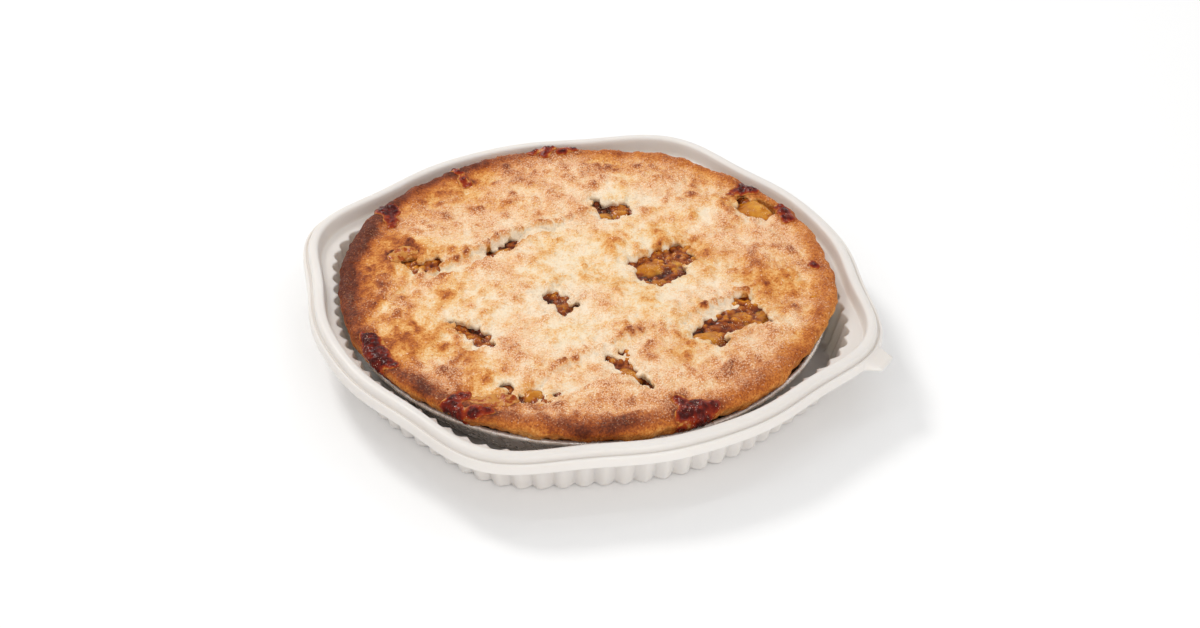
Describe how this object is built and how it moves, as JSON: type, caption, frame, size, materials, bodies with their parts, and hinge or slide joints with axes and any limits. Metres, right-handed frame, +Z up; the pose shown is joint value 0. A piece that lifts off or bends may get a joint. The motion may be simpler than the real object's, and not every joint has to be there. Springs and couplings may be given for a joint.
{
  "type": "lattice apple pie",
  "caption": "Baked lattice-top apple pie in its foil tin, seated in a shallow fluted white plastic tray with a softly square rim and a small pull tab.",
  "frame": {"origin": "middle of the tray's flat underside, which stands on the table", "axes": "+Z up out of the pie; +X towards the side with the pull tab, which points to +X and a little to -Y; -Y is the front"},
  "size_m": [0.2421, 0.239, 0.0346],
  "materials": {
    "tray_plastic": "satin",
    "tin_foil": "satin",
    "browned_pastry": "matte",
    "golden_pastry": "matte",
    "apple_filling": "gloss"
  },
  "bodies": {
    "root": {"tray": "tray_plastic", "foil_tin": "tin_foil", "bottom_crust": "browned_pastry", "filling": "apple_filling", "lattice_under_1": "golden_pastry", "lattice_under_2": "golden_pastry", "lattice_under_3": "golden_pastry", "lattice_under_4": "golden_pastry", "lattice_over_1": "golden_pastry", "lattice_over_2": "golden_pastry", "lattice_over_3": "golden_pastry", "lattice_over_4": "golden_pastry"}
  },
  "joints": []
}
